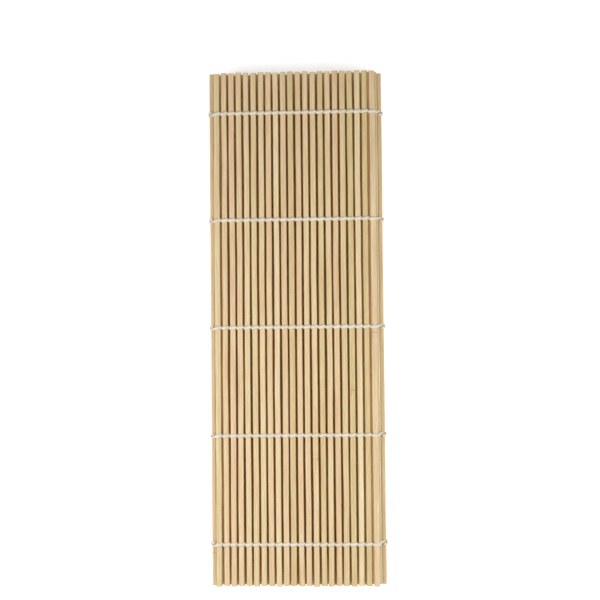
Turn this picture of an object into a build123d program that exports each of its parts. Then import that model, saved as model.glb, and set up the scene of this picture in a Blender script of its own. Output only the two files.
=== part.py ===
from build123d import *
import os
from math import cos, hypot, pi, radians, sin, sqrt, tan

# A rolling mat of rounded bamboo sticks, twined side by side by lines of cotton cord.
# It lies folded in three: bottom third, middle third and top third, each upside down to the last.
# One stick stands on edge in each fold, and the cord bends on both sides of it.
# X runs across the sticks, Y along them and Z up, in millimetres.
# The origin is the middle of the footprint, on the surface that the mat lies on.

# Sticks
stick_length = 240.0
stick_width = 2.6
stick_thickness = 2.2
stick_side_flat = 0.3
stick_end_slip = 0.5
sticks_per_third = 22
lead_in_sticks = 4
# The sticks of the middle layer lie this far to the side, so that they close the gaps of the others
layer_stagger = 1.0
# Lengthwise slip of the sticks, one after the other, as shares of the largest slip
slip_shares = (0.1, -0.5, 0.6, 0.0, -0.8, 0.4, 1.0, -0.2, 0.7, -1.0, 0.3, -0.6, 0.8)

# Cord: two strands that change sides between every two sticks
strand_diameter = 0.7
cord_clearance = 0.09
strand_offset = 0.5
fold_strand_offset = 1.0
cord_lines = 5
cord_spacing = 50.4
tie_end_gap = 0.08
fold_end_gap = 0.04
rest_flat_share = 0.1

# Knot and cut tails of each line, at the free edge of the bottom third
knot_diameter = 2.0
tail_length = 4.0
tail_turns = (2.0, 18.0)
tail_droop = 6.0

# Sizes that follow
strand_radius = strand_diameter / 2
stick_gap = strand_diameter + 2 * cord_clearance
stick_pitch = stick_width + stick_gap
corner_radius = (min(stick_width, stick_thickness) - stick_side_flat) / 2
bend_radius = corner_radius + cord_clearance + strand_radius
strand_height = stick_thickness / 2 + cord_clearance + strand_radius
corner_across = stick_width / 2 - corner_radius
corner_up = stick_thickness / 2 - corner_radius
fold_reach = corner_across + corner_up + sqrt(2) * bend_radius
rest_flat_depth = rest_flat_share * strand_diameter
first_stick_x = -((sticks_per_third - 1) * stick_pitch + layer_stagger) / 2
fold_x = fold_reach - first_stick_x
bottom_level = strand_height + strand_radius - rest_flat_depth
middle_level = bottom_level + 2 * fold_reach
top_level = middle_level + 2 * fold_reach
fold_bend_tangent = bend_radius * tan(radians(45 / 2))


def stick_x(number):
    """Middle of a stick across its third, counted from 0."""
    return first_stick_x + number * stick_pitch


def stick(number):
    """One stick on its own middle height, slipped lengthwise by its share."""
    slip = stick_end_slip * slip_shares[number % len(slip_shares)]
    section = Plane.XZ * RectangleRounded(stick_width, stick_thickness, corner_radius)
    return Pos(0, slip, 0) * extrude(section, amount=stick_length / 2, both=True)


def crossing(x, offset=strand_offset):
    """Station between two sticks, where each strand passes straight to the other side."""
    return (x, offset, "crossing")


def fold(x):
    """Station in a fold, where the strands pass at 45 degrees through the hinge line."""
    return (x, fold_strand_offset, "fold")


def bend(kind):
    """Start, middle and end of the bend beside a station, as distance from it and height."""
    if kind == "fold":
        half_turn = radians(45 / 2)
        foot = strand_height - fold_bend_tangent * cos(radians(45))
        start = (foot, foot)
        end = strand_height + fold_bend_tangent
    else:
        half_turn = radians(45)
        start = (0, strand_height - bend_radius)
        end = bend_radius
    middle = (end - bend_radius * sin(half_turn), strand_height - bend_radius * (1 - cos(half_turn)))
    return [start, middle, (end, strand_height)]


def towards(near, far, distance, height):
    """Point at a distance from one place towards another in plan, at a height."""
    share = distance / hypot(far[0] - near[0], far[1] - near[1])
    return (near[0] + share * (far[0] - near[0]), near[1] + share * (far[1] - near[1]), height)


def strand_end(kind, near, far, side, gap):
    """End of a strand, short of its station by the gap."""
    lean = cos(radians(45))
    if kind == "fold":
        return towards(near, far, gap * lean, side * gap * lean)
    return towards(near, far, 0, side * gap)


def strand(stations, side, start_gap=0, end_gap=0):
    """Tube over the first stick on the given side, under the next one, and so on."""
    places = []
    for number, (x, offset, kind) in enumerate(stations):
        places.append((x, -side * (-1) ** number * offset))
    kinds = [kind for x, offset, kind in stations]
    here = strand_end(kinds[0], places[0], places[1], side, start_gap)
    edges = []
    for number in range(len(places) - 1):
        near, far = places[number], places[number + 1]
        rise = [towards(near, far, d, side * z) for d, z in bend(kinds[number])]
        fall = [towards(far, near, d, side * z) for d, z in reversed(bend(kinds[number + 1]))]
        edges += [Line(here, rise[0]), ThreePointArc(*rise), Line(rise[2], fall[0]), ThreePointArc(*fall)]
        here = fall[2]
        side = -side
    edges.append(Line(here, strand_end(kinds[-1], places[-1], places[-2], -side, end_gap)))
    path = Wire(edges)
    tube = sweep(Plane(origin=path @ 0, z_dir=path % 0) * Circle(strand_radius), path=path)
    wanted = path.length * pi * strand_radius ** 2
    if abs(tube.volume / wanted - 1) > 0.01:
        print("strand volume is off:", tube.volume / wanted)
    return tube


def fold_bead(x, side):
    """Round end of a strand on the hinge line of a fold, where the next strand meets it."""
    bead_share = 0.97
    return Pos(x, side * fold_strand_offset, 0) * Sphere(bead_share * strand_radius)


def both_strands(stations, start_gap=0, end_gap=0):
    """The two strands of a line: one starts over the first stick, the other under it."""
    return [strand(stations, side, start_gap, end_gap) for side in (1, -1)]


def knot():
    """Overhand knot outside the first stick, with the two cut tails of the cord."""
    radius = knot_diameter / 2
    x = first_stick_x - stick_width / 2 - cord_clearance - radius
    # Turned so that the sphere's seam stays clear of the strands and the tails
    shape = Rot(0, 0, 90) * Sphere(radius)
    for turn, droop in zip(tail_turns, (tail_droop, -tail_droop)):
        tail = Cylinder(strand_radius, tail_length, align=(Align.CENTER, Align.CENTER, Align.MIN))
        shape += Rot(0, 0, -turn) * Rot(90 + droop, 0, 0) * tail
    return Pos(x, 0, 0) * shape


def on_all_lines(solids):
    """Copies of one line's solids on every line of cord."""
    first_y = -(cord_lines - 1) * cord_spacing / 2
    return [[Pos(0, first_y + line * cord_spacing, 0) * solid for solid in solids]
            for line in range(cord_lines)]


def group(solids):
    """One node made of separate solids."""
    return Compound(children=[solid for shape in solids for solid in shape.solids()])


between = [crossing(stick_x(number) + stick_pitch / 2) for number in range(sticks_per_third)]
nodes = {}

# Bottom third: its left edge is free and knotted, and its right edge goes into the lower fold.
bottom_place = Pos(0, 0, bottom_level)
under_rest = Pos(0, 0, -strand_diameter) * Box(4 * fold_x, stick_length, 2 * strand_diameter)
nodes["bottom_sticks"] = group([bottom_place * Pos(stick_x(number), 0, 0) * stick(number)
                                for number in range(sticks_per_third)])
free_start = crossing(stick_x(0) - stick_pitch / 2, 0)
bottom_strands = both_strands([free_start] + between[:-1] + [fold(fold_x)])
last_side = (-1) ** (sticks_per_third - 1)
bottom_cord = bottom_place * knot()
for side, tube in zip((1, -1), bottom_strands):
    bottom_cord += bottom_place * (tube + fold_bead(fold_x, side * last_side)) - under_rest
for line, solids in enumerate(on_all_lines([bottom_cord])):
    nodes[f"bottom_cord_{line + 1}"] = group(solids)

# Stick on edge in the lower fold, with its own loops of cord
fold_stations = [fold(-fold_reach), fold(fold_reach)]
fold_gap = strand_radius + fold_end_gap
on_edge = Rot(0, -90, 0)
fold_loops = both_strands(fold_stations, fold_gap, fold_gap)
lower_place = Pos(fold_x, 0, bottom_level + fold_reach) * on_edge
nodes["lower_fold_stick"] = lower_place * stick(1)
nodes["lower_fold_loops"] = group([lower_place * loop for line in on_all_lines(fold_loops) for loop in line])

# Middle third, turned upside down, with a fold on both sides
middle_place = Pos(0, 0, middle_level) * Rot(0, 180, 0)
nodes["middle_sticks"] = group([middle_place * Pos(stick_x(number), 0, 0) * stick(number + 5)
                                for number in range(sticks_per_third)])
middle_stations = [fold(-fold_x)] + between[:-1] + [fold(fold_x)]
middle_strands = []
for side, tube in zip((1, -1), both_strands(middle_stations)):
    beads = fold_bead(-fold_x, -side) + fold_bead(fold_x, side * last_side)
    middle_strands.append(middle_place * (tube + beads))
for line, solids in enumerate(on_all_lines(middle_strands)):
    nodes[f"middle_cord_{line + 1}"] = group(solids)

# Stick on edge in the upper fold
upper_place = Pos(-fold_x, 0, middle_level + fold_reach) * on_edge
nodes["upper_fold_stick"] = upper_place * stick(3)
nodes["upper_fold_loops"] = group([upper_place * loop for line in on_all_lines(fold_loops) for loop in line])

# Top third: the first sticks stay flat, so that a roll clears the fold.
top_place = Pos(0, 0, top_level)
nodes["lead_in_sticks"] = group([top_place * Pos(stick_x(number), 0, 0) * stick(number + 9)
                                 for number in range(lead_in_sticks)])
lead_in_stations = [fold(-fold_x)] + between[:lead_in_sticks]
lead_in_strands = []
for side, tube in zip((1, -1), both_strands(lead_in_stations, 0, tie_end_gap)):
    lead_in_strands.append(top_place * (tube + fold_bead(-fold_x, -side)))
nodes["lead_in_cords"] = group([tube for line in on_all_lines(lead_in_strands) for tube in line])

# Rolling sticks: each turns on the cord beside it. The last one is held in a closed loop.
half_pitch = stick_pitch / 2
pair_of_loops = both_strands([crossing(-half_pitch), crossing(half_pitch)], tie_end_gap, tie_end_gap)
end_stations = [crossing(-half_pitch), crossing(half_pitch, 0), crossing(-half_pitch, -strand_offset)]
end_loop = [strand(end_stations, 1, tie_end_gap, tie_end_gap)]
for number in range(lead_in_sticks, sticks_per_third):
    place = top_place * Pos(stick_x(number), 0, 0)
    name = f"{number - lead_in_sticks + 1:02d}"
    loops = end_loop if number == sticks_per_third - 1 else pair_of_loops
    nodes[f"roll_stick_{name}"] = place * stick(number + 9)
    nodes[f"roll_loops_{name}"] = group([place * loop for line in on_all_lines(loops) for loop in line])

os.makedirs("parts", exist_ok=True)
for name, shape in nodes.items():
    export_step(shape, f"parts/{name}.step")

print("nodes", len(nodes))
print("stick pitch", round(stick_pitch, 3), "corner radius", round(corner_radius, 3))
levels = [round(z, 4) for z in (bottom_level, middle_level, top_level)]
print("fold axes x", round(fold_x, 4), "levels", levels)
roll_axes = [round(stick_x(number) - half_pitch, 4) for number in (lead_in_sticks, sticks_per_third - 1)]
print("first and last roll axis x", roll_axes)
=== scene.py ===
from math import radians
import bpy
import numpy as np
from mathutils import Matrix


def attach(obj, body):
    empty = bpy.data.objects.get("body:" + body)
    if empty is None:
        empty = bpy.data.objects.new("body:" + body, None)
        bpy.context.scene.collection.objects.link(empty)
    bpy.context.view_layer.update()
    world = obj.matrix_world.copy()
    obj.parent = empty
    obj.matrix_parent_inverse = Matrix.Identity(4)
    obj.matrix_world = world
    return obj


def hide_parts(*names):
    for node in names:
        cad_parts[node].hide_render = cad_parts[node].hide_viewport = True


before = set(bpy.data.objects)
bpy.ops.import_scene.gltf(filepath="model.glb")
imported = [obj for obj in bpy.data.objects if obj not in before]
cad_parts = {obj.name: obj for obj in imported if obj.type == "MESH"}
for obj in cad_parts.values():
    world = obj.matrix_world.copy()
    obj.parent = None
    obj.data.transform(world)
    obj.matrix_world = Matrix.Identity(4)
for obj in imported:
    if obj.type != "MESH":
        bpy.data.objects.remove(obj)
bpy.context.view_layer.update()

# Bamboo sticks
# A culm of bamboo is split into thin rods, which are planed to a rounded rectangle and sawn to length.
# They lie side by side in three layers, none quite straight and each a little different in width and colour.
MM = 0.001
STICK_LENGTH, STICK_WIDTH, STICK_THICKNESS = 240.0, 2.6, 2.2
STICK_PITCH = 3.48
FIRST_STICK = -37.04
PER_THIRD, LEAD_IN = 22, 4
BOTTOM, MIDDLE, TOP = 1.82, 6.7515, 11.683
FOLD_X = 39.5058
END_SLIP = 0.22
SLIPS = np.array([0.1, -0.5, 0.6, 0.0, -0.8, 0.4, 1.0, -0.2, 0.7, -1.0, 0.3, -0.6, 0.8])
LINE_SPACING = 50.4
LINE_Y = LINE_SPACING * np.arange(-2, 3)
# Directions of a section's points from the middles of its round corners, five points to each corner
CORNER_TURNS = np.radians(np.concatenate([start + np.linspace(0, 90, 5) for start in (0, 90, 180, 270)]))
grain = np.random.default_rng(41)


def rods(slip_numbers):
    """Rings of points of sticks that all lie on x = 0, as an array of sticks, rings, points and x, y, z.
    A section is a rectangle with four round corners: each point is the corner's middle plus its radius
    along the point's direction. The section turns, swells and drifts sideways a little along the stick,
    least where a cord holds it, and draws in over the last tenths of a millimetre at the sawn ends."""
    count = len(slip_numbers)
    across, up = np.cos(CORNER_TURNS), -np.sin(CORNER_TURNS)
    side_x = np.repeat([1, -1, -1, 1], 5)
    side_z = np.repeat([-1, -1, 1, 1], 5)

    reach = STICK_LENGTH / 2
    inner = np.linspace(-reach + 0.5, reach - 0.5, 70)
    from_end = np.array([0, 0.05, 0.16])
    along = np.concatenate([from_end - reach, inner, reach - from_end[::-1]])
    drawn_in = np.zeros(len(along))
    drawn_in[:3], drawn_in[-3:] = [0.14, 0.05, 0.01], [0.01, 0.05, 0.14]

    def per_stick(low, high):
        return grain.uniform(low, high, (count, 1))

    def wander(size, wave):
        swing = np.zeros((count, len(along)))
        for share, length in ((0.7, wave), (0.3, wave / 2.3)):
            swing += share * np.sin(2 * np.pi * (along / (length * per_stick(0.8, 1.3)) + per_stick(0, 1)))
        return size * swing

    free = 0.35 + 0.65 * np.sin(np.pi * (along - LINE_Y[0]) / LINE_SPACING) ** 2
    drift = wander(0.15, 190) * free + wander(0.03, 44)
    lift = wander(0.05, 120)
    half_width = STICK_WIDTH / 2 * per_stick(0.985, 1.045) * (1 + wander(0.008, 70))
    half_height = STICK_THICKNESS / 2 * per_stick(0.95, 1.0) * (1 + wander(0.008, 70))
    radius = per_stick(0.42, 0.6)
    lean = np.radians(per_stick(-3.5, 3.5) + wander(1.5, 180))

    inset = (radius - drawn_in)[..., None]
    x = side_x * (half_width - radius)[..., None] + inset * across
    z = side_z * (half_height - radius)[..., None] + inset * up
    cos_lean, sin_lean = np.cos(lean)[..., None], np.sin(lean)[..., None]
    x, z = x * cos_lean - z * sin_lean, x * sin_lean + z * cos_lean
    slip = END_SLIP * SLIPS[np.asarray(slip_numbers) % len(SLIPS)]
    y = along[None, :, None] + slip[:, None, None] + 0 * x
    saw_slope = per_stick(-0.05, 0.05)[..., None] * np.abs(along / reach)[None, :, None] ** 60
    return np.stack([x + drift[..., None], y + saw_slope * x, z + lift[..., None]], axis=-1)


def skin(name, rings, numbers, mark, marks, ring_step=1.0):
    """One closed mesh from an array of tubes, rings, points and x, y, z in millimetres. Faces with four
    corners join neighbouring rings, and a fan of triangles round the middle of the last ring closes
    each end. Each tube keeps its own number, each point the mark of its place round the ring, and the
    UV is the share of the way round and the length along."""
    count, rows, around = rings.shape[:3]
    middles = rings[:, [0, -1]].mean(axis=2)
    points = np.concatenate([rings.reshape(-1, 3), middles.reshape(-1, 3)]) * MM
    tube, row, step = np.meshgrid(np.arange(count), np.arange(rows - 1), np.arange(around), indexing="ij")
    here, beside = (tube * rows + row) * around + step, (tube * rows + row) * around + (step + 1) % around
    quads = np.stack([here, beside, beside + around, here + around], axis=-1).reshape(-1, 4)
    tube, step = np.meshgrid(np.arange(count), np.arange(around), indexing="ij")
    first, beside = tube * rows * around + step, tube * rows * around + (step + 1) % around
    middle = count * rows * around + 2 * tube
    last = (rows - 1) * around
    fans = np.concatenate([np.stack([middle, beside, first], axis=-1).reshape(-1, 3),
                           np.stack([middle + 1, first + last, beside + last], axis=-1).reshape(-1, 3)])
    mesh = bpy.data.meshes.new(name)
    mesh.from_pydata(points, [], quads.tolist() + fans.tolist())
    mesh.polygons.foreach_set("use_smooth", np.arange(len(quads) + len(fans)) < len(quads))

    at_end = np.zeros((count, rows, around))
    at_end[:, [0, -1]] = 1
    stored = {"piece_number": np.concatenate([np.repeat(numbers, rows * around), np.repeat(numbers, 2)]),
              "sawn_end": np.concatenate([at_end.reshape(-1), np.ones(2 * count)]),
              mark: np.concatenate([np.broadcast_to(marks, at_end.shape).reshape(-1), np.zeros(2 * count)])}
    for label, values in stored.items():
        mesh.attributes.new(label, "FLOAT", "POINT").data.foreach_set("value", values.astype(np.float32))
    ring_of, step_of = np.divmod(quads[:, 0] % (rows * around), around)
    corner_u = np.stack([step_of, step_of + 1, step_of + 1, step_of], axis=1) / around
    corner_v = np.stack([ring_of, ring_of, ring_of + 1, ring_of + 1], axis=1) * ring_step
    uv = np.concatenate([np.stack([corner_u, corner_v], axis=-1).reshape(-1, 2), np.zeros((fans.size, 2))])
    mesh.uv_layers.new(name="UVMap").data.foreach_set("uv", uv.astype(np.float32).reshape(-1))
    mesh.update()
    made = bpy.data.objects.new(name, mesh)
    bpy.context.collection.objects.link(made)
    return made


def linear(colour):
    """Linear RGBA of an sRGB hex colour: a channel above 0.04 is raised to 2.4 after an offset, and one
    below is divided by 12.92."""
    channels = [int(colour[i:i + 2], 16) / 255 for i in (1, 3, 5)]
    return [c / 12.92 if c <= 0.04045 else ((c + 0.055) / 1.055) ** 2.4 for c in channels] + [1.0]


def add(tree, kind, settings=None, stops=(), **inputs):
    """Adds a node, sets its properties and a colour ramp's stops, each a position and a hex colour, and
    fills its inputs, given by name or as i and their number, with values or links from other sockets."""
    made = tree.nodes.new(kind)
    for key, value in (settings or {}).items():
        setattr(made, key, value)
    for number, (position, colour) in enumerate(stops):
        stop = made.color_ramp.elements[number] if number < 2 else made.color_ramp.elements.new(position)
        stop.position, stop.color = position, linear(colour)
    for key, value in inputs.items():
        numbered = key[0] == "i" and key[1:].isdigit()
        socket = made.inputs[int(key[1:]) if numbered else key.replace("_", " ")]
        if isinstance(value, bpy.types.NodeSocket):
            tree.links.new(value, socket)
        else:
            socket.default_value = value
    return made


def blank(name):
    """New material with only its output and shader, and the two."""
    material = bpy.data.materials.new(name)
    material.use_nodes = True
    return material, material.node_tree, material.node_tree.nodes["Principled BSDF"]


# Bare planed bamboo: pale straw to pinkish tan, each split its own tone, with darker bundles of fibre
# along it and now and then the thin line of a culm joint. The faces are satin, because planed fibres are
# hard and slightly waxy. The flanks, where the culm was split, are painted a warmer brown where they face
# another stick: painted shade for the dark, reddish gaps between sticks. Light sinks in a little and comes out
# redder.
STREAK_WIDTH, STREAK_LENGTH = 0.7 * MM, 30 * MM
FIBRE_WIDTH, FIBRE_LENGTH = 0.18 * MM, 9 * MM
PORE_SPACING = 0.3125 * MM
JOINT_BAND = 3 * MM
MULTIPLY = {"data_type": "RGBA", "blend_type": "MULTIPLY"}
bamboo, tree, shader = blank("bare_planed_bamboo")
place = add(tree, "ShaderNodeTexCoord").outputs["Object"]
number = add(tree, "ShaderNodeAttribute", {"attribute_name": "piece_number"}).outputs["Fac"]
pick = add(tree, "ShaderNodeTexWhiteNoise", {"noise_dimensions": "1D"}, W=number)
tones = [(0.0, "#DFD09C"), (0.25, "#EDE0B8"), (0.5, "#EAD3AF"), (0.75, "#F1E6C0"), (1.0, "#E5CCA2")]
tone = add(tree, "ShaderNodeValToRGB", stops=tones, Fac=pick.outputs["Value"]).outputs["Color"]
streak_place = add(tree, "ShaderNodeMapping", Vector=place,
                   Scale=(1 / STREAK_WIDTH, 1 / STREAK_LENGTH, 1 / STREAK_WIDTH)).outputs["Vector"]
streaks = add(tree, "ShaderNodeTexNoise", {"noise_dimensions": "4D"}, Vector=streak_place, W=number,
              Scale=1.0, Detail=3.0, Roughness=0.6).outputs["Fac"]
fibre_place = add(tree, "ShaderNodeMapping", Vector=place,
                  Scale=(1 / FIBRE_WIDTH, 1 / FIBRE_LENGTH, 1 / FIBRE_WIDTH)).outputs["Vector"]
fibres = add(tree, "ShaderNodeTexNoise", {"noise_dimensions": "4D"}, Vector=fibre_place, W=number,
             Scale=1.0, Detail=2.0, Roughness=0.5).outputs["Fac"]
streak_stops = [(0.3, "#D6B788"), (0.62, "#FFFFFF")]
streak_tint = add(tree, "ShaderNodeValToRGB", stops=streak_stops, Fac=streaks).outputs["Color"]
streaked = add(tree, "ShaderNodeMix", MULTIPLY, i0=0.45, i6=tone, i7=streak_tint).outputs[2]
fibre_stops = [(0.35, "#DCC49C"), (0.6, "#FFFFFF")]
fibre_tint = add(tree, "ShaderNodeValToRGB", stops=fibre_stops, Fac=fibres).outputs["Color"]
fibred = add(tree, "ShaderNodeMix", MULTIPLY, i0=0.4, i6=streaked, i7=fibre_tint).outputs[2]

# A joint lies at random within half a metre of the middle, so about one stick in four has one
joint_at = add(tree, "ShaderNodeSeparateColor", Color=pick.outputs["Color"]).outputs["Blue"]
joint_at = add(tree, "ShaderNodeMapRange", i0=joint_at, i3=-0.5, i4=0.5).outputs["Result"]
along = add(tree, "ShaderNodeSeparateXYZ", Vector=place).outputs["Y"]
from_joint = add(tree, "ShaderNodeMath", {"operation": "SUBTRACT"}, i0=along, i1=joint_at).outputs["Value"]
from_joint = add(tree, "ShaderNodeMath", {"operation": "ABSOLUTE"}, i0=from_joint).outputs["Value"]
from_joint = add(tree, "ShaderNodeMath", {"operation": "MULTIPLY"},
                 i0=from_joint, i1=1 / JOINT_BAND).outputs["Value"]
joint_stops = [(0.03, "#A9783F"), (0.1, "#F3E4C8"), (0.35, "#FFFFFF"), (0.6, "#F1E2C4"), (1.0, "#FFFFFF")]
joint_tint = add(tree, "ShaderNodeValToRGB", stops=joint_stops, Fac=from_joint).outputs["Color"]
jointed = add(tree, "ShaderNodeMix", MULTIPLY, i0=0.4, i6=fibred, i7=joint_tint).outputs[2]

# Painted shade: flanks that face a neighbouring stick are multiplied towards warm brown, for the shade and
# reddish bounced light in the gaps between sticks
painted_gap_shade = add(tree, "ShaderNodeAttribute", {"attribute_name": "painted_gap_shade"}).outputs["Fac"]
painted_gap_shade_stops = [(0.3, "#FFFFFF"), (0.95, "#E3B788")]
painted_gap_shade_tint = add(tree, "ShaderNodeValToRGB", stops=painted_gap_shade_stops, Fac=painted_gap_shade).outputs["Color"]
planed = add(tree, "ShaderNodeMix", MULTIPLY, i0=1.0, i6=jointed, i7=painted_gap_shade_tint).outputs[2]
sawn = add(tree, "ShaderNodeAttribute", {"attribute_name": "sawn_end"}).outputs["Fac"]
pores = add(tree, "ShaderNodeTexVoronoi", Vector=place, Scale=1 / PORE_SPACING).outputs["Distance"]
end_stops = [(0.12, "#8A6236"), (0.42, "#D2B47E")]
end_grain = add(tree, "ShaderNodeValToRGB", stops=end_stops, Fac=pores).outputs["Color"]
finished = add(tree, "ShaderNodeMix", {"data_type": "RGBA"}, i0=sawn, i6=planed, i7=end_grain).outputs[2]
relief = add(tree, "ShaderNodeBump", Strength=0.35, Distance=0.04 * MM, Height=fibres).outputs["Normal"]
tree.links.new(finished, shader.inputs["Base Color"])
tree.links.new(relief, shader.inputs["Normal"])
shader.inputs["Roughness"].default_value = 0.5
shader.inputs["IOR"].default_value = 1.5
shader.inputs["Subsurface Weight"].default_value = 0.5
shader.inputs["Subsurface Radius"].default_value = (1.0, 0.4, 0.2)
shader.inputs["Subsurface Scale"].default_value = 1 * MM

across = FIRST_STICK + STICK_PITCH * np.arange(PER_THIRD)
layers = {}
# The middle layer lies upside down, so its sticks are counted the other way
layer_places = [("bottom", 0, 1, BOTTOM), ("middle", 5, -1, MIDDLE), ("top", 9, 1, TOP)]
for layer, first_slip, hand, level in layer_places:
    middles_at = np.stack([hand * across, 0 * across, 0 * across + level], axis=-1)
    layers[layer] = rods(np.arange(PER_THIRD) + first_slip) + middles_at[:, None, None]
on_edge = rods([1, 3])
on_edge = np.stack([-on_edge[..., 2], on_edge[..., 1], on_edge[..., 0]], axis=-1)
on_edge += np.array([[FOLD_X, 0, (BOTTOM + MIDDLE) / 2], [-FOLD_X, 0, (MIDDLE + TOP) / 2]])[:, None, None]

# Node, body, rings and numbers of each group of sticks
sticks = [("bottom_sticks", "bottom_third", layers["bottom"], range(0, 22)),
          ("lower_fold_stick", "lower_fold", on_edge[:1], [22]),
          ("middle_sticks", "middle_third", layers["middle"], range(23, 45)),
          ("upper_fold_stick", "upper_fold", on_edge[1:], [45]),
          ("lead_in_sticks", "lead_in", layers["top"][:LEAD_IN], range(46, 50))]
for roll in range(PER_THIRD - LEAD_IN):
    at = LEAD_IN + roll
    rings = layers["top"][at:at + 1]
    sticks.append((f"roll_stick_{roll + 1:02d}", f"roll_{roll + 1:02d}", rings, [46 + at]))

# Flanks between two sticks are marked for painted shade, which stands in for the shade in the gaps between
# them. The outer flanks of a layer and those of the sticks in the folds aren't.
sideways = np.cos(CORNER_TURNS)
for node_name, body, rings, numbers in sticks:
    at = rings.mean(axis=(1, 2))[:, None, None, 0]
    outer = (np.abs(at) > 35) & (sideways * at > 0) | ("fold" in node_name)
    made = skin(f"bamboo_{node_name}", rings, list(numbers), "painted_gap_shade", np.where(outer, 0, np.abs(sideways)))
    made.data.materials.append(bamboo)
    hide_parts(node_name)
    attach(made, body)

# Cotton cord
# Each of the five lines is a pair of soft three-ply strands, twined by machine: they change sides
# between every two sticks. They are narrow between the sticks and press wide where they pass over one.
STRAND_ROUND, STRAND_FLAT = (1.1, 0.74), (1.62, 0.74)
STRAND_HEIGHT = 1.45
STRAND_OFFSET, FOLD_OFFSET = 0.32, 0.68
FOLD_REACH = 2.4658
RING_STEP = 0.22
PLY_POINTS = 5
half = STICK_PITCH / 2


def beside(kind):
    """Half of a strand's line over a stick, from its station to the stick's top, as distance and height.
    At a crossing it starts straight up and follows a quarter of an ellipse, squared a little by raising
    sine and cosine to 0.8. At a fold it starts at 45 degrees and bends by a circle."""
    if kind == "fold":
        turn, bend = np.radians(np.linspace(45, 90, 12)), 1.3
        end = STRAND_HEIGHT + bend * np.tan(np.radians(22.5))
        return (np.concatenate([[0], end - bend * np.cos(turn)]),
                np.concatenate([[0], STRAND_HEIGHT - bend + bend * np.sin(turn)]))
    turn, reach, foot = np.radians(np.linspace(0, 90, 16)), half - 0.3, 0.12
    return (np.concatenate([[0], reach * (1 - np.abs(np.cos(turn)) ** 0.8)]),
            np.concatenate([[0], foot + (STRAND_HEIGHT - foot) * np.sin(turn) ** 0.8]))


def strand_line(stations, side):
    """Middle line of a strand through its stations, each a place across, a sideways offset and a kind.
    It passes over the first stick on the given side, under the next, and so on. In plan it is straight
    from station to station, and it changes sides at each one."""
    places = [(x, -side * (-1) ** number * offset) for number, (x, offset, kind) in enumerate(stations)]
    runs = []
    for number in range(len(places) - 1):
        near, far = np.array(places[number]), np.array(places[number + 1])
        length = np.hypot(*(far - near))
        rise_d, rise_z = beside(stations[number][2])
        fall_d, fall_z = beside(stations[number + 1][2])
        distance = np.concatenate([rise_d, length - fall_d[::-1]])
        height = np.concatenate([rise_z, fall_z[::-1]]) * side
        plan = near + np.outer(distance / length, far - near)
        runs.append(np.column_stack([plan, height])[0 if number == 0 else 1:])
        side = -side
    return np.concatenate(runs)


def length_along(line):
    """Length of a line from its start to each of its points."""
    return np.concatenate([[0], np.cumsum(np.linalg.norm(np.diff(line, axis=0), axis=1))])


one_stick = [(-half, STRAND_OFFSET, "crossing"), (half, STRAND_OFFSET, "crossing")]
# Length in which the plies wind once round: seven crowns show over three sticks
LAY = 3 * length_along(strand_line(one_stick, 1))[-1] / 7
round_ring = np.arange(3 * PLY_POINTS) / (3 * PLY_POINTS) * 2 * np.pi
crowns = np.abs(np.cos(1.5 * round_ring)) ** 0.8


def strand(line, plugs=(0, 0), beside_axis=(0, 1, 0), pressed=True, size=1.0):
    """Rings of one strand along a line, which is cut into equal steps of length. A ring is an ellipse,
    wide across the line and thin away from the stick, more so the higher it is. Its radius swells and dips
    three times round it for the three plies, and it turns steadily along the line. A plug draws each
    end in past its station by the cosine of an angle, as it goes on by the sine."""
    lengths = length_along(line)
    along = np.linspace(0, lengths[-1], max(4, int(round(lengths[-1] / RING_STEP))) + 1)
    centre = np.column_stack([np.interp(along, lengths, line[:, i]) for i in range(3)])
    forward = np.gradient(centre, axis=0)
    forward /= np.linalg.norm(forward, axis=1)[:, None]
    shrink = np.ones(len(along))
    turn = np.radians([75, 50, 25])
    for plug, end in zip(plugs, (0, -1)):
        if plug:
            reach = plug * np.sin(turn) * (-1 if end == 0 else 1)
            more = [centre[end] + np.outer(reach, forward[end]), np.repeat(forward[[end]], 3, axis=0),
                    np.cos(turn), along[end] + reach]
            have = [centre, forward, shrink, along]
            centre, forward, shrink, along = [np.concatenate([m, h] if end == 0 else [h, m[::-1]])
                                              for m, h in zip(more, have)]
    press = np.clip(np.abs(centre[:, 2]) / STRAND_HEIGHT, 0, 1) ** 2 if pressed else np.zeros(len(along))
    wide, thin = [np.interp(press, [0, 1], pair)[:, None] * size / 2
                  for pair in zip(STRAND_ROUND, STRAND_FLAT)]
    across_line = np.array(beside_axis, float) - forward * (forward @ np.array(beside_axis, float))[:, None]
    across_line /= np.linalg.norm(across_line, axis=1)[:, None]
    outward = np.cross(forward, across_line)
    turn = round_ring + along[:, None] / LAY * 2 * np.pi
    reach = (0.84 + 0.16 * crowns) * shrink[:, None]
    return (centre[:, None] + (wide * np.cos(turn) * reach)[..., None] * across_line[:, None]
            + (thin * np.sin(turn) * reach)[..., None] * outward[:, None])


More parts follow.
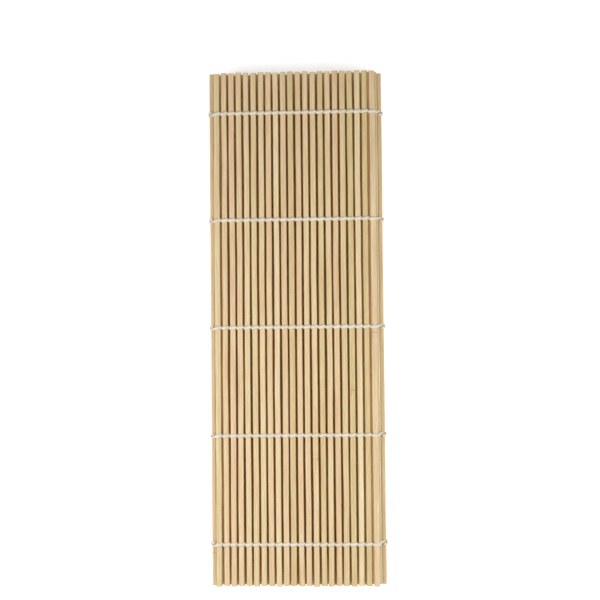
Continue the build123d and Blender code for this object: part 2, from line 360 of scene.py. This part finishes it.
# Twisted unbleached cotton: warm white and matt, with fine fibres along each ply and painted grey-brown
# shade in the hollows between the plies. The fibres are drawn 0.12 mm wide, several times the real ones, so
# that they show.
FIBRES_ROUND, FIBRES_PER_MM = 26.0, 3.2
BLOTCHES_PER_METRE = 420.0
cotton, tree, shader = blank("twisted_cotton_cord")
place = add(tree, "ShaderNodeTexCoord").outputs["Object"]
uv = add(tree, "ShaderNodeUVMap", {"uv_map": "UVMap"}).outputs["UV"]
fibre_place = add(tree, "ShaderNodeMapping", Vector=uv,
                  Scale=(FIBRES_ROUND, FIBRES_PER_MM, 1.0)).outputs["Vector"]
fibres = add(tree, "ShaderNodeTexNoise", Vector=fibre_place,
             Scale=1.0, Detail=3.0, Roughness=0.6).outputs["Fac"]
blotch = add(tree, "ShaderNodeTexNoise", Vector=place, Scale=BLOTCHES_PER_METRE, Detail=2.0).outputs["Fac"]
tint_stops = [(0.3, "#E9DFCB"), (0.7, "#F7F1E4")]
tint = add(tree, "ShaderNodeValToRGB", stops=tint_stops, Fac=blotch).outputs["Color"]
shade_stops = [(0.3, "#D5C8B0"), (0.55, "#FFFFFF")]
shade = add(tree, "ShaderNodeValToRGB", stops=shade_stops, Fac=fibres).outputs["Color"]
yarn = add(tree, "ShaderNodeMix", MULTIPLY, i0=0.5, i6=tint, i7=shade).outputs[2]
# Painted shade: the hollows between the three plies, away from each ply's crown, are darkened towards
# grey-brown
crown = add(tree, "ShaderNodeAttribute", {"attribute_name": "crown"}).outputs["Fac"]
painted_ply_shade_stops = [(0.0, "#C3AE8E"), (0.5, "#FFFFFF")]
painted_ply_shade = add(tree, "ShaderNodeValToRGB", stops=painted_ply_shade_stops, Fac=crown).outputs["Color"]
plied = add(tree, "ShaderNodeMix", MULTIPLY, i0=0.8, i6=yarn, i7=painted_ply_shade).outputs[2]
relief = add(tree, "ShaderNodeBump", Strength=0.5, Distance=0.05 * MM, Height=fibres).outputs["Normal"]
tree.links.new(plied, shader.inputs["Base Color"])
tree.links.new(relief, shader.inputs["Normal"])
shader.inputs["Roughness"].default_value = 0.9
shader.inputs["Sheen Weight"].default_value = 0.25
shader.inputs["Sheen Roughness"].default_value = 0.5

between = [(x + half, STRAND_OFFSET, "crossing") for x in across]
left_fold, right_fold = (-FOLD_X, FOLD_OFFSET, "fold"), (FOLD_X, FOLD_OFFSET, "fold")
TIE_PLUG, FOLD_PLUG = 0.2, 0.36


def strands(stations, plugs):
    """Both strands through the stations: one starts over the first stick, the other under it."""
    return np.stack([strand(strand_line(stations, side), plugs) for side in (1, -1)])


def on_lines(rings):
    """Copies of one line's strands on all five lines."""
    return np.concatenate([rings + np.array([0, y, 0]) for y in LINE_Y])


def tie(name, body, rings, *node_names):
    """One piece of cord, on its body, in place of its nodes."""
    made = skin(name, rings, np.arange(len(rings)), "crown", crowns, RING_STEP)
    made.data.materials.append(cotton)
    if node_names:
        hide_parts(*node_names)
    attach(made, body)
    return made


# Lines of the bottom third, flat underneath where they lie on the table
rings = strands([(across[0] - half, 0.0, "crossing")] + between[:-1] + [right_fold], (0.3, FOLD_PLUG))
for line, y in enumerate(LINE_Y):
    placed = rings + np.array([0, y, BOTTOM])
    placed[..., 2] = np.maximum(placed[..., 2], 0.0)
    tie(f"cotton_bottom_line_{line + 1}", "bottom_third", placed, f"bottom_cord_{line + 1}")

# Lines of the middle third, which lies upside down
rings = strands([left_fold] + between[:-1] + [right_fold], (FOLD_PLUG, FOLD_PLUG)) * np.array([-1, 1, -1])
for line, y in enumerate(LINE_Y):
    placed = rings + np.array([0, y, MIDDLE])
    tie(f"cotton_middle_line_{line + 1}", "middle_third", placed, f"middle_cord_{line + 1}")

# Loops round the sticks on edge in the folds, turned a quarter round the Y axis
fold_ends = [(-FOLD_REACH, FOLD_OFFSET, "fold"), (FOLD_REACH, FOLD_OFFSET, "fold")]
loops = on_lines(strands(fold_ends, (FOLD_PLUG, FOLD_PLUG)))
loops = np.stack([-loops[..., 2], loops[..., 1], loops[..., 0]], axis=-1)
tie("cotton_lower_fold", "lower_fold", loops + np.array([FOLD_X, 0, (BOTTOM + MIDDLE) / 2]), "lower_fold_loops")
tie("cotton_upper_fold", "upper_fold", loops + np.array([-FOLD_X, 0, (MIDDLE + TOP) / 2]), "upper_fold_loops")

# Lines of the top third: over the first sticks in one piece, then a loop for each stick, which turns on
# the crossing beside it. The last stick is held in a closed bight.
rings = strands([left_fold] + between[:LEAD_IN], (FOLD_PLUG, TIE_PLUG))
tie("cotton_lead_in", "lead_in", on_lines(rings) + np.array([0, 0, TOP]), "lead_in_cords")
loop = strands(one_stick, (TIE_PLUG, TIE_PLUG))
round_last = [(-half, STRAND_OFFSET, "crossing"), (half, 0.0, "crossing"),
              (-half, -STRAND_OFFSET, "crossing")]
bight = strand(strand_line(round_last, 1), (TIE_PLUG, TIE_PLUG))[None]
for roll in range(PER_THIRD - LEAD_IN):
    at = LEAD_IN + roll
    rings = on_lines(bight if at == PER_THIRD - 1 else loop) + np.array([across[at], 0, TOP])
    tie(f"cotton_roll_{roll + 1:02d}", f"roll_{roll + 1:02d}", rings, f"roll_loops_{roll + 1:02d}")

# Knots and tails
# At the free edge of the bottom third the two strands of each line are knotted together and cut off,
# and the cut ends fray into their three plies.
KNOT_AT = np.array([-39.42, 0, 0])
KNOT_DEPTH, KNOT_REACH = 0.32, 0.2
swing = np.linspace(0, 2 * np.pi, 80)
# A trefoil: the sum of a circle and a doubled one that turns against it, with three waves in depth
trefoil = KNOT_AT + np.column_stack([KNOT_DEPTH * np.sin(3 * swing),
                                     KNOT_REACH * (np.sin(swing) + 2 * np.sin(2 * swing)),
                                     KNOT_REACH * (np.cos(swing) - 2 * np.cos(2 * swing))])
knots = strand(trefoil, beside_axis=(1, 0, 0), pressed=False, size=0.68)[None]
tie("cotton_knots", "bottom_third", on_lines(knots) + np.array([0, 0, BOTTOM]))


def frayed_tail(turn, rise):
    """Rings of the three plies of a tail. Its line runs towards -Y, turned and raised by two angles, and
    sags with the square of its length. Each ply winds round that line, and over the last part it
    spreads and thins."""
    along = np.linspace(0.2, 4.1, 28)
    turn, rise = radians(turn), radians(rise)
    ahead = np.array([-np.sin(turn) * np.cos(rise), -np.cos(turn) * np.cos(rise), np.sin(rise)])
    line = KNOT_AT + np.outer(along, ahead) - np.outer(0.02 * along ** 2, [0, 0, 1])
    first = np.cross(ahead, [0, 0, 1])
    first /= np.linalg.norm(first)
    second = np.cross(ahead, first)
    loose = np.clip((along - 2.6) / 1.5, 0, 1)
    winding = np.arange(3)[:, None] * 2 * np.pi / 3 + 2 * np.pi * along / LAY * (1 - 0.25 * loose)
    out = (0.17 + 0.26 * loose ** 2)[:, None]
    centre = line + out * (np.cos(winding)[..., None] * first + np.sin(winding)[..., None] * second)
    thick = ((0.2 - 0.07 * loose) * np.where(along > 4.0, 0.5, 1.0))[:, None, None]
    outward = np.cos(round_ring)[:, None] * first + np.sin(round_ring)[:, None] * second
    return centre[:, :, None] + thick * outward


tails = np.concatenate([frayed_tail(3, -6), frayed_tail(17, 5)])
tie("cotton_tails", "bottom_third", on_lines(tails) + np.array([0, 0, BOTTOM]))

# Floor and light
# The mat lies on a plain white table. Two soft lamps light it from above its long sides, and a dim white
# world fills the shadows.
floor_mesh = bpy.data.meshes.new("table")
floor_mesh.from_pydata([(-3, -3, 0), (3, -3, 0), (3, 3, 0), (-3, 3, 0)], [], [(0, 1, 2, 3)])
floor = bpy.data.objects.new("table", floor_mesh)
bpy.context.collection.objects.link(floor)


def seen_directly(tree):
    """1 for rays that show the floor or the world to the camera, also in a reflection, and 0 for the light
    that falls on the mat."""
    path = add(tree, "ShaderNodeLightPath").outputs
    seen = path["Is Camera Ray"]
    for ray in ("Is Glossy Ray", "Is Transmission Ray"):
        seen = add(tree, "ShaderNodeMath", {"operation": "MAXIMUM"}, i0=seen, i1=path[ray]).outputs["Value"]
    return seen


# Smooth white board, which looks brighter to the camera than the light on it makes it
table_paint, tree, shader = blank("white_table")
lift = add(tree, "ShaderNodeMath", {"operation": "MULTIPLY"},
           i0=seen_directly(tree), i1=0.55).outputs["Value"]
tree.links.new(lift, shader.inputs["Emission Strength"])
shader.inputs["Emission Color"].default_value = linear("#FFFFFF")
shader.inputs["Base Color"].default_value = linear("#F4F4F4")
shader.inputs["Roughness"].default_value = 0.8
floor_mesh.materials.append(table_paint)

world = bpy.data.worlds.new("studio")
bpy.context.scene.world = world
world.use_nodes = True
tree = world.node_tree
strength = add(tree, "ShaderNodeMapRange", i0=seen_directly(tree), i3=0.34, i4=1.0).outputs["Result"]
tree.nodes["Background"].inputs["Color"].default_value = linear("#FFFFFF")
tree.links.new(strength, tree.nodes["Background"].inputs["Strength"])


def turn_to(made, place, right, back):
    """Puts an object at a place, with its own X axis along right and its Z axis along back."""
    axes = np.column_stack([right, np.cross(back, right), back, place])
    made.matrix_world = Matrix(np.vstack([axes, [0, 0, 0, 1]]).tolist())


def lamp(name, size, watts, place, aim):
    """Soft square lamp of a size in metres, at a place, turned towards a point."""
    light = bpy.data.lights.new(name, "AREA")
    light.size, light.energy = size, watts
    made = bpy.data.objects.new(name, light)
    bpy.context.collection.objects.link(made)
    back = np.array(place, float) - np.array(aim, float)
    back /= np.linalg.norm(back)
    right = np.cross([0, 1, 0.01], back)
    right /= np.linalg.norm(right)
    turn_to(made, place, right, back)


lamp("left", 0.25, 0.73, (-0.24, -0.07, 0.25), (0, -0.05, 0))
lamp("right", 0.25, 0.73, (0.27, -0.07, 0.25), (0, -0.05, 0))

# Camera
# It looks almost straight down, a little towards the far end and to the left. Its place and turn are
# fitted to the ends of the sticks and the lines of cord in the photograph.
camera = bpy.data.objects.new("camera", bpy.data.cameras.new("camera"))
bpy.context.collection.objects.link(camera)
FOCAL_LENGTH_IN_PIXELS, PICTURE_WIDTH = 1366.0, 600
camera.data.sensor_width, camera.data.lens = 36.0, FOCAL_LENGTH_IN_PIXELS / PICTURE_WIDTH * 36.0
camera.data.clip_start, camera.data.clip_end = 0.01, 10.0
forward = np.array([-0.0555, 0.04296, -0.99753])
forward /= np.linalg.norm(forward)
right = np.array([0.99839, -0.00925, -0.05595])
right -= forward * (right @ forward)
right /= np.linalg.norm(right)
turn_to(camera, (0.03697, -0.01482, 0.64851), right, -forward)
bpy.context.scene.camera = camera
bpy.context.scene.view_settings.view_transform = "Standard"
